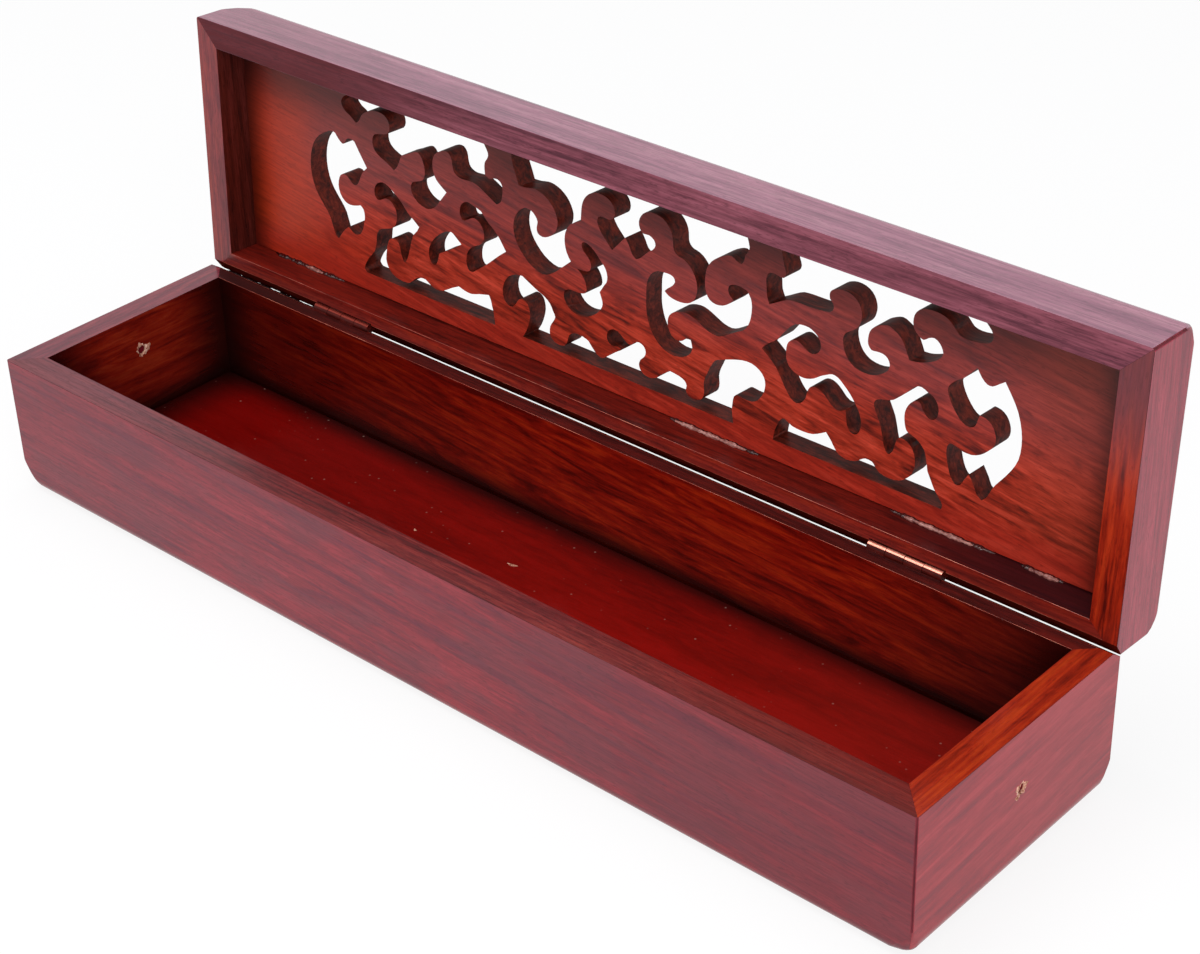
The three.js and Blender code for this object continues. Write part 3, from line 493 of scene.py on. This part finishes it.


# %% [markdown]
# ### The tray
#
# The four walls are one kind of wood, but each was cut from another place in the plank. The front
# is streaked and its grain falls a little to the right, the right-hand end is plainer and rosier,
# and the right-hand rim shows a bright strip of heartwood. The channel behind the back rim, where
# the hinges turn, lies in shadow and is nearly black: its dark, uncoated wood is painted shade.

# %% Woods of the tray
outside_long = lacquered_rosewood(
    "rubbed_rosewood_long", ("#9c2c38", "#88222e", "#681a30"), "x", streak=(70, 3.4), turn=(0, 2, 0),
    wave=0.9, lines=0.4, patches=("#702f3a", 0.55),
    shades=[("X", -10, 115, 0.5, "#681a24"), ("X", 30, -120, 0.3, "#7c3444")], shift=1.0)
outside_end = lacquered_rosewood(
    "rubbed_rosewood_end", ("#a22c36", "#90202c", "#761a2a"), "y", streak=(50, 4.0), turn=(4, 0, 0),
    lines=0.2, specks=0.7, shift=2.0)
rim_front = lacquered_rosewood(
    "planed_rosewood_front_rim", ("#86302a", "#6c1f20", "#451214"), "x", streak=(60, 1.8), coat=0.5,
    shades=[("X", 30, 100, 0.6, "#6a1a10"), ("X", -20, -110, 0.6, "#7a4a54")], shift=3.0)
rim_back = lacquered_rosewood(
    "planed_rosewood_back_rim", ("#5c1510", "#46100e", "#2c0808"), "x", streak=(45, 2.2),
    shades=[("X", -60, -110, 0.7, "#1c0606")], shift=3.5)
rim_left = lacquered_rosewood(
    "planed_rosewood_left_rim", ("#84343e", "#702636", "#581c2c"), "y", streak=(40, 3.0), coat=0.85,
    shift=4.0)
rim_right = lacquered_rosewood(
    "planed_heartwood_right_rim", ("#aa3614", "#922410", "#5a120a"), "y", streak=(70, 2.4), coat=0.4,
    lines=0.3, shift=5.0)
# The inside is darker towards both ends, and painted shade darkens its corners and the foot of each wall,
# where shade falls.
inside_long = lacquered_rosewood(
    "stained_rosewood_inside", ("#a0260c", "#841408", "#500804"), "x", streak=(40, 4.5),
    turn=(0, 3, 0), wave=2.0, lines=0.3, rings=0.3,
    shades=[("X", -10, -118, 0.75, "#300604"), ("X", 60, 122, 0.75, "#34100c"),
            *shaded_corners("X", 106, 123), ("Z", 14, 8, 0.9, "#140303")], shift=6.0)
inside_end = lacquered_rosewood(
    "stained_rosewood_inside_end", ("#8c2a14", "#7a180c", "#560c08"), "y", streak=(30, 3.4), wave=1.2,
    lines=0.2, shades=[*shaded_corners("Y", 8, 26), ("Z", 15, 8, 0.93, "#140303")], shift=7.0)
# Painted shade: the hinge channel lies in shadow, so its wood is dark and has no coat that could mirror
# light.
channel = lacquered_rosewood(
    "painted_shade_hinge_channel", ("#6a1c10", "#54140c", "#3a0c08"), "x", coat=0.0, shift=7.5)
# Dark arrises and upright corners with little or no coat, which mirror less light than the faces beside
# them.
dark_arris = lacquered_rosewood(
    "uncoated_dark_rosewood_arris", ("#440c12", "#340a0e", "#24060a"), "x", coat=0.0, shift=7.7)
dark_corner = lacquered_rosewood(
    "dark_upright_corner", ("#7c2430", "#6a1c28", "#54141e"), "z", coat=0.35, shift=7.8)
# Painted highlight: the pale inner arris of the back rims stands for the thin line of white that it
# mirrors.
arris_highlight = lacquered_rosewood(
    "painted_highlight_rosewood_arris", ("#e08870", "#b85848", "#6c241c"), "x", streak=(9, 2.0), wave=0.4,
    shift=7.9)


# %% The four walls
on_outside, on_rim, on_inside, on_arris, in_channel, on_corner = range(6)
lowest_rim = 33.5 * mm
floor_top = 7.5 * mm
lowest_channel = 30 * mm


def at_corner(normal, third):
    """Whether a face lies between the long and the short side of the box, and does not lean to
    the third direction."""
    return 0.3 < abs(normal.x) < 0.93 and abs(normal.dot(third)) < 0.1


def wall_face(inward):
    """The rim, the inside, the hinge channel, a corner or the outside of a wall that faces inward."""
    def choose(normal, centre):
        if normal.z > 0.95 and centre.z > lowest_rim:
            return on_rim
        if normal.dot(inward) > 0.9 and centre.z > floor_top:
            return on_inside
        if normal.z > 0.5 and normal.y > 0.3 and centre.z > lowest_channel:
            return in_channel
        return on_corner if at_corner(normal, Vector((0, 0, 1))) else on_outside
    return choose


for node, woods, inward in (
        ("base_front_wall", (outside_long, rim_front, inside_long, dark_arris), (0, 1, 0)),
        ("base_back_wall", (outside_long, rim_back, inside_long, arris_highlight), (0, -1, 0)),
        ("base_left_end", (outside_end, rim_left, inside_end, dark_arris), (1, 0, 0)),
        ("base_right_end", (outside_end, rim_right, inside_end, dark_arris), (-1, 0, 0))):
    dress(node, "base", [*woods, channel, dark_corner], wall_face(Vector(inward)),
          on_edges=on_arris, cuts=tray_cuts)

# %% [markdown]
# ### The floor board
#
# The floor is one wide board, stained the deepest red and brushed with more lacquer than the
# rest, so it is smoother and its grain hardly shows. Painted shade darkens it towards the walls.

# %% The floor board
floor_lacquer = lacquered_rosewood(
    "lacquered_floor_board", ("#820c08", "#720905", "#5a0604"), "x", streak=(120, 14.0), wave=0.4,
    lines=0.12, shades=[("X", 20, -100, 0.5, "#560000"), ("X", 30, 110, 0.3, "#8a1e16"),
                        *shaded_corners("X", 106, 125), *shaded_corners("Y", 17, 27)],
    specks=0.14, gloss=0.15, coat=0.4, shift=8.0)
dress("floor_panel", "base", [floor_lacquer], lambda normal, centre: 0)

# %% [markdown]
# ### The lid
#
# The rails of the lid are dressed in the same way. The grain of the two end rails runs up the
# open lid. The inner edges of the frame are in shadow and were stained almost brown.

# %% Woods of the lid
# Painted sheen: the pale mauve of the lid's front stands partly for the white room that its lacquer
# mirrors, so the shut lid looks greyer than the tray.
lid_top = lacquered_rosewood(
    "rubbed_rosewood_lid_front_with_painted_sheen", ("#a1697c", "#8e546b", "#754058"), "x", streak=(90, 2.6), wave=0.5,
    coat=1.0, shades=[("X", -40, -120, 0.4, "#7c3c50")], shift=9.0)
lid_outside = lacquered_rosewood(
    "rubbed_rosewood_lid_outside", ("#932a32", "#7a1a24", "#54122c"), "x", streak=(60, 4.5),
    turn=(0, 5, 0), shift=9.3)
lid_end = lacquered_rosewood(
    "rubbed_rosewood_lid_end", ("#a73849", "#952c3e", "#7c2034"), "z", streak=(80, 2.4), wave=0.5,
    coat=0.85, shift=10.0)
# Painted sheen: the rim's mauve grey stands partly for the white room that its lacquer mirrors, and it is
# darker at the left, where that sheen is missing.
lid_rim_front = lacquered_rosewood(
    "planed_rosewood_lid_front_rim", ("#965362", "#824351", "#5c2a38"), "x", streak=(60, 1.8),
    coat=0.3, shades=[("X", -20, -95, 0.85, "#561519")], shift=11.0)
lid_rim_back = lacquered_rosewood(
    "planed_rosewood_lid_back_rim", ("#a4321f", "#8b251c", "#5e1714"), "x", streak=(45, 2.0),
    shades=[("X", -50, -110, 0.5, "#601410"), ("X", 70, 110, 0.4, "#5a140c")], shift=11.5)
lid_rim_left = lacquered_rosewood(
    "planed_rosewood_lid_left_rim", ("#9c3a34", "#863034", "#641e28"), "z", streak=(50, 2.4),
    shift=12.0)
lid_rim_right = lacquered_rosewood(
    "planed_heartwood_lid_right_rim", ("#a83014", "#8e200e", "#4a0e0a"), "z", streak=(60, 2.0),
    lines=0.3, shades=[("Z", 66, 90, 0.8, "#5e2833")], shift=13.0)
lid_inside_long = lacquered_rosewood(
    "stained_rosewood_lid_inside", ("#781c12", "#66160f", "#380a08"), "x", streak=(40, 2.4),
    coat=0.35, gloss=0.35, shades=[("X", 60, 105, 0.85, "#2c0c12")], shift=14.0)
lid_inside_end = lacquered_rosewood(
    "stained_rosewood_lid_inside_end", ("#5a201b", "#4a1812", "#30100e"), "z", streak=(40, 2.4),
    shift=15.0)


# %% The four rails
highest_channel = 38 * mm


def rail_face(inward):
    """The rim, the inside, the hinge channel, a corner or the outside of a rail that faces inward."""
    def choose(normal, centre):
        if normal.dot(lid_front) > 0.95:
            return on_rim
        if normal.dot(inward) > 0.9:
            return on_inside
        if normal.dot(lid_front) > 0.5 and normal.dot(lid_up) < -0.3 and centre.z < highest_channel:
            return in_channel
        return on_corner if at_corner(normal, lid_front) else on_outside
    return choose


for node, woods, inward in (
        ("lid_front_rail", (lid_top, lid_rim_front, lid_inside_long, lid_top), -lid_up),
        ("lid_back_rail", (lid_outside, lid_rim_back, lid_inside_long, arris_highlight), lid_up),
        ("lid_left_end", (lid_end, lid_rim_left, lid_inside_end, lid_rim_left), (1, 0, 0)),
        ("lid_right_end", (lid_end, lid_rim_right, lid_inside_end, dark_arris), (-1, 0, 0))):
    dress(node, "lid", [*woods, channel, dark_corner], rail_face(Vector(inward)),
          edge=0.6 * mm, on_edges=on_arris, cuts=lid_cuts)

# %% [markdown]
# ### The pierced panel
#
# The scrolls were sawn through the panel with a fret saw, which leaves a brown, rather rough edge
# that took little lacquer. The face is the liveliest wood of the box: orange red, with dark rings
# that wave across it.

# %% The pierced panel
# Painted shade darkens the face in a band under the front rail and in its corners.
panel_face = lacquered_rosewood(
    "stained_openwork_face", ("#d04834", "#aa311e", "#56160f"), "x", streak=(34, 4.2),
    turn=(0, 8, 0), wave=2.4, lines=0.4, rings=0.12, ring_width=2.3, gloss=0.38, coat=0.6,
    shades=[("X", -60, -100, 0.6, "#b62a0e"), ("Z", 54, 72, 0.6, "#7c3c40"),
            ("X", -94, -108, 0.7, "#b8340c"), ("Z", 72, 87, 0.8, "#48100c"),
            ("X", 92, 112, 0.4, "#8a3220"), ("Z", 48, 42, 0.6, "#a8261a"),
            *shaded_corners("X", 114, 124, 0.8)], shift=16.0)
panel_sawn = lacquered_rosewood(
    "sawn_openwork_edge", ("#6c2418", "#501a12", "#2c100c"), "x", streak=(6, 1.5), lines=0.25,
    gloss=0.4, coat=0.22, shift=17.0)


def panel_side(normal, centre):
    """The inner face, a sawn edge or the outer face of the panel."""
    inner_face, sawn_edge, outer_face = range(3)
    facing = normal.dot(lid_front)
    if facing > 0.9:
        return inner_face
    if facing < -0.9:
        return outer_face
    return sawn_edge


def face_edge(edge):
    """Whether an edge bounds the inner or the outer face of the panel."""
    return any(abs(face.normal.dot(lid_front)) > 0.9 for face in edge.link_faces)


dress("lid_pierced_panel", "lid", [panel_face, panel_sawn, lid_outside], panel_side,
      soften=face_edge, edge=0.15 * mm)

# %% [markdown]
# ## Hinges
#
# The hinges are small pressed butts with a copper wash. They were on the box when it was
# lacquered, so red lacquer covers their leaves and screws, and only the crest of each barrel,
# which was rubbed clean, still shows copper. The left-hand hinge is duller than the right-hand one.


# %% Hinge metals
def coppered_brass(name, pale, dark):
    """Pressed brass sheet with a copper wash, stained in patches half a millimetre wide."""
    material = bpy.data.materials.new(name)
    tree = clean_tree(material)
    where = add(tree, "ShaderNodeTexCoord").outputs["Object"]
    place = add(tree, "ShaderNodeMapping", {
        "Vector": where, "Scale": [0.5 * mm] * 3}, vector_type="TEXTURE")
    stain = add(tree, "ShaderNodeTexNoise", {"Vector": place.outputs[0], "Scale": 1.0, "Detail": 3.0})
    colour = add(tree, "ShaderNodeMix", {
        mix_share: stain.outputs["Fac"], colour_a: linear(pale), colour_b: linear(dark)},
        data_type="RGBA")
    rough = add(tree, "ShaderNodeMapRange", {
        "Value": stain.outputs["Fac"], "To Min": 0.2, "To Max": 0.45})
    shader = add(tree, "ShaderNodeBsdfPrincipled", {
        "Base Color": colour.outputs[mixed_colour], "Roughness": rough.outputs[0], "Metallic": 1.0})
    add(tree, "ShaderNodeOutputMaterial", {"Surface": shader.outputs[0]})
    return material


bare_copper = coppered_brass("rubbed_copper", "#e8a08c", "#b86c5a")
dull_copper = coppered_brass("tarnished_copper", "#9c4438", "#6a241e")
red_metal = lacquered_rosewood(
    "lacquer_over_brass", ("#5c1812", "#4a120e", "#30100c"), "x", streak=(5, 1.0), coat=0.25, shift=17.5)

# %% The hinge pieces
crest_side = Vector((0, -0.3, 0.954))
barrel_reach = 0.9 * mm
hinge_bodies = {"base_leaf": "base", "lid_leaf": "lid", "pin": "base", "base_screw_1": "base",
                "base_screw_2": "base", "lid_screw_1": "lid", "lid_screw_2": "lid"}


def hinge_face(normal, centre):
    """The bare crest of a barrel, or any other face."""
    under_lacquer, bare = range(2)
    out = Vector((0, centre.y, centre.z)) - hinge_axis
    on_barrel = out.length > barrel_reach and normal.dot(out) > barrel_reach
    return bare if on_barrel and normal.dot(crest_side) > 0.955 else under_lacquer


def metal_edge(edge):
    """Whether an edge of a hinge is long enough to be rounded."""
    return edge.calc_length() > 1 * mm


for side, copper in (("left", dull_copper), ("right", bare_copper)):
    for name, body in hinge_bodies.items():
        dress(f"{side}_hinge_{name}", body, [red_metal, copper], hinge_face,
              soften=metal_edge, edge=0.05 * mm)


# %% [markdown]
# ## Marks of handwork
#
# Lacquer also bridged the small gap round each leaf. It is a skin a few hundredths of a
# millimetre thick that lies flush with the rim. Glue was squeezed out below the pierced panel and
# dried as beads with dark edges, whose pale middles are a painted glint. Near-black beads fill the
# hinge channel to the left of the left-hand hinge and close the gap there. The drill tore the wood
# round the hole in each end, and broke chips off.

# %% The helper that makes a new piece
def surface_piece(name, points, closed, body, material, smooth=True):
    """Makes a piece from points[i, j] on a grid of rows and columns: every four neighbours make a
    face, and a closed grid joins its last column to its first. It is attached to the given body."""
    rows, columns = points.shape[:2]
    index = np.arange(rows * columns).reshape(rows, columns)
    ahead = np.roll(index, -1, axis=1)
    last = columns if closed else columns - 1
    faces = np.stack([index[:-1], ahead[:-1], ahead[1:], index[1:]], axis=-1)[:, :last].reshape(-1, 4)
    mesh = bpy.data.meshes.new(name)
    mesh.from_pydata(points.reshape(-1, 3).tolist(), [], faces.tolist())
    grid = bmesh.new()
    grid.from_mesh(mesh)
    bmesh.ops.remove_doubles(grid, verts=grid.verts, dist=1e-7)
    bmesh.ops.recalc_face_normals(grid, faces=grid.faces)
    for face in grid.faces:
        face.smooth = smooth
    grid.to_mesh(mesh)
    grid.free()
    mesh.materials.append(material)
    piece = bpy.data.objects.new(name, mesh)
    bpy.context.scene.collection.objects.link(piece)
    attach(piece, body)
    print(name, len(mesh.polygons), "faces")


# %% [markdown]
# ### Glue beads and the gap filler
#
# A bead is a tube that swells and thins at random. Its radius is a sum of a few sines, so it never
# repeats, and a dome brings it down to nothing at both ends. The glue has two beads on one line,
# a broad dark one and a narrow pale one that stands out of it, whose paleness is a painted glint.
# The near-black filler in the hinge channel is a third kind.

# %% Beads
# Painted glint: the narrow bead is pale where glossy glue would mirror the white room.
glue_glint = lacquered_rosewood("glue_with_painted_glint", ("#c49088", "#a06860", "#5c2420"), "x", streak=(3, 0.8),
                               gloss=0.1, shift=18.0)
dark_glue = lacquered_rosewood("stained_glue", ("#48100c", "#360a08", "#240606"), "x", streak=(5, 0.8),
                               gloss=0.1, shift=18.5)
near_black_filler = lacquered_rosewood("dark_gap_filler", ("#2c0a08", "#200605", "#160404"), "x",
                                 streak=(5, 0.8), coat=0.3, shift=18.7)


steps_along = 90
sides_round = 10


def bead(name, from_x, to_x, middle, across, up, wide, high, body, material):
    """The point at (x, a) is middle + s(x) (wide cos a across + high sin a up), where s(x) is a sum
    of sines times a dome that falls to nothing at both ends."""
    x = np.linspace(from_x, to_x, steps_along)
    t = np.linspace(-1, 1, steps_along)
    swell = 0.72 + 0.16 * np.sin(1.1 * x) + 0.1 * np.sin(2.7 * x + 1) + 0.08 * np.sin(5.3 * x + 2)
    size = (swell * np.sqrt(np.clip(1 - t ** 8, 0, 1)))[:, None]
    angle = np.linspace(0, 2 * np.pi, sides_round, endpoint=False)
    points = (
        np.array(middle)
        + x[:, None, None] * mm * np.array([1.0, 0, 0])
        + (size * wide * np.cos(angle))[..., None] * mm * np.array(across)
        + (size * high * np.sin(angle))[..., None] * mm * np.array(up)
    )
    surface_piece(name, points, True, body, material)


joint = in_open_lid(0, 26.5, 42.3)
for number, (from_x, to_x, pale_from, pale_to) in enumerate(
        ((-116, -91, -104, -98), (12, 37, 14, 34), (71, 97, 75, 92), (103, 113, 105, 112)), 1):
    bead(f"stained_glue_{number}", from_x, to_x, joint, lid_front, lid_up, 1.2, 0.7, "lid",
         dark_glue)
    bead(f"glue_glint_{number}", pale_from, pale_to, joint + 0.8 * mm * lid_front + 0.25 * mm * lid_up,
         lid_front, lid_up, 0.6, 0.6, "lid", glue_glint)

# Near-black beads fill the hinge channel to the left of the left-hand hinge, so that the gap there shows
# dark.
channel_down = Vector((0, 3.2, -2.35)).normalized()
channel_out = Vector((0, 2.35, 3.2)).normalized()
channel_place = Vector((0, 32.0, 32.39)) * mm
for number, (from_x, to_x, high) in enumerate(
        ((-127, -109.7, 0.55), (-107.3, -100.3, 0.55), (-95.5, -92.3, 0.55), (-112, -94, 0.26)), 1):
    bead(f"gap_filler_{number}", from_x, to_x, channel_place, channel_down, channel_out, 0.9, high,
         "base", near_black_filler)

# %% [markdown]
# ### Torn wood and chips
#
# The torn wood is a ring round the hole. Its inner edge is turned up, and its outer edge wanders in
# and out as a sum of sines does. A chip is a low dome on an outline with three lobes.

# %% Torn wood and chips
raw_wood = lacquered_rosewood("raw_splintered_wood", ("#f8d0bc", "#c88c74", "#6c3424"), "z",
                              streak=(0.9, 0.5), gloss=0.6, coat=0.2, shift=19.0)


def torn_ring(name, centre, start):
    """The point at (k, a) is the centre + (h, r cos a, r sin a). The rows k go from the hole's wall
    over a lifted crest down to the ragged outer edge r = 1.3 + a sum of sines of a."""
    angle = np.linspace(0, 2 * np.pi, 60, endpoint=False)
    rag = 0.5 + 0.3 * np.cos(2 * angle + start) + 0.22 * np.sin(5 * angle + 2 * start)
    rag = np.clip(rag + 0.2 * np.sin(11 * angle), 0.08, None)
    crest = 0.12 + 0.1 * np.sin(3 * angle + start)
    radius = np.stack([1.05 + 0 * rag, 1.1 + 0 * rag, 1.15 + 0.5 * rag, 1.15 + rag])
    height = np.stack([-0.4 + 0 * rag, crest, 0.7 * crest, -0.02 + 0 * rag])
    points = np.stack([height, radius * np.cos(angle), radius * np.sin(angle)], axis=-1)
    surface_piece(name, (points + np.array(centre)) * mm, True, "base", raw_wood)


def chip(name, centre, along, across, up, length, width):
    """The point at (u, a) is the centre + u (1 + 0.25 sin 3a) (length cos a along + width sin a
    across) + height (1 - u u) up, with u from 0 in the middle to 1 at the edge."""
    u = np.linspace(0, 1, 5)[:, None]
    angle = np.linspace(0, 2 * np.pi, 18, endpoint=False)
    lobes = 1 + 0.25 * np.sin(3 * angle)
    points = (
        np.array(centre)
        + (u * lobes * length * np.cos(angle))[..., None] * np.array(along)
        + (u * lobes * width * np.sin(angle))[..., None] * np.array(across)
        + (0.22 * (1 - u * u) - 0.02 + 0 * angle)[..., None] * np.array(up)
    )
    surface_piece(name, points * mm, True, "base", raw_wood)


torn_ring("right_torn_ring", (130.0, 0.5, 19.9), 0.3)
torn_ring("left_torn_ring", (-123.2, 0.5, 24.7), 2.4)
for number, (centre, along, across, up, length, width, near) in enumerate((
        ((130.0, -0.7, 18.4), (0, 1, 0), (0, 0, 1), (1, 0, 0), 0.8, 0.55, "wall_wood"),
        ((-123.2, 2.4, 24.9), (0, 1, 0), (0, 0, 1), (1, 0, 0), 0.8, 0.9, "wall_wood"),
        ((-6.8, 7.1, 8.0), (1, 0.2, 0), (-0.2, 1, 0), (0, 0, 1), 1.3, 0.4, "floor_wood"),
        ((-33.6, 3.5, 8.0), (0.9, -0.3, 0), (0.3, 0.9, 0), (0, 0, 1), 0.6, 0.3, "floor_wood")), 1):
    chip(f"chip_{number}", centre, along, across, up, length, width)

# %% [markdown]
# ### Lacquer skins over the hinge leaves
#
# Each skin is a flat plate over a leaf and the gap round it, in the wood of its rim.

# %% Lacquer skins
skin_half_length = 9.6
skin_front = 26.8
skin_back = 29.3
skin_thickness = 0.03


def on_tray_rim(x, y, above):
    """A place at some height above the tray's rim."""
    return Vector((x, y, 34.0 + above)) * mm


def on_lid_rim(x, y, above):
    """A place at some distance in front of the open lid's rim."""
    return in_open_lid(x, y, 34.3 - above)


def lacquer_skin(name, centre_x, place, body, material):
    """The four sides and the upper face of a thin plate that lies on a hinge's leaf. place(x, y,
    above) sets it on its rim."""
    x = centre_x + skin_half_length * np.array([-1, 1, 1, -1])
    y = np.array([skin_front, skin_front, skin_back, skin_back])
    lower = [place(px, py, 0.0) for px, py in zip(x, y)]
    upper = [place(px, py, skin_thickness) for px, py in zip(x, y)]
    middle = sum(upper, Vector()) / 4
    points = np.array([[list(p) for p in lower], [list(p) for p in upper], [list(middle)] * 4])
    surface_piece(name, points, True, body, material, smooth=False)


for side, centre_x in (("left", -83.2), ("right", 81.3)):
    lacquer_skin(f"{side}_base_skin", centre_x, on_tray_rim, "base", rim_back)
    lacquer_skin(f"{side}_lid_skin", centre_x, on_lid_rim, "lid", lid_rim_back)
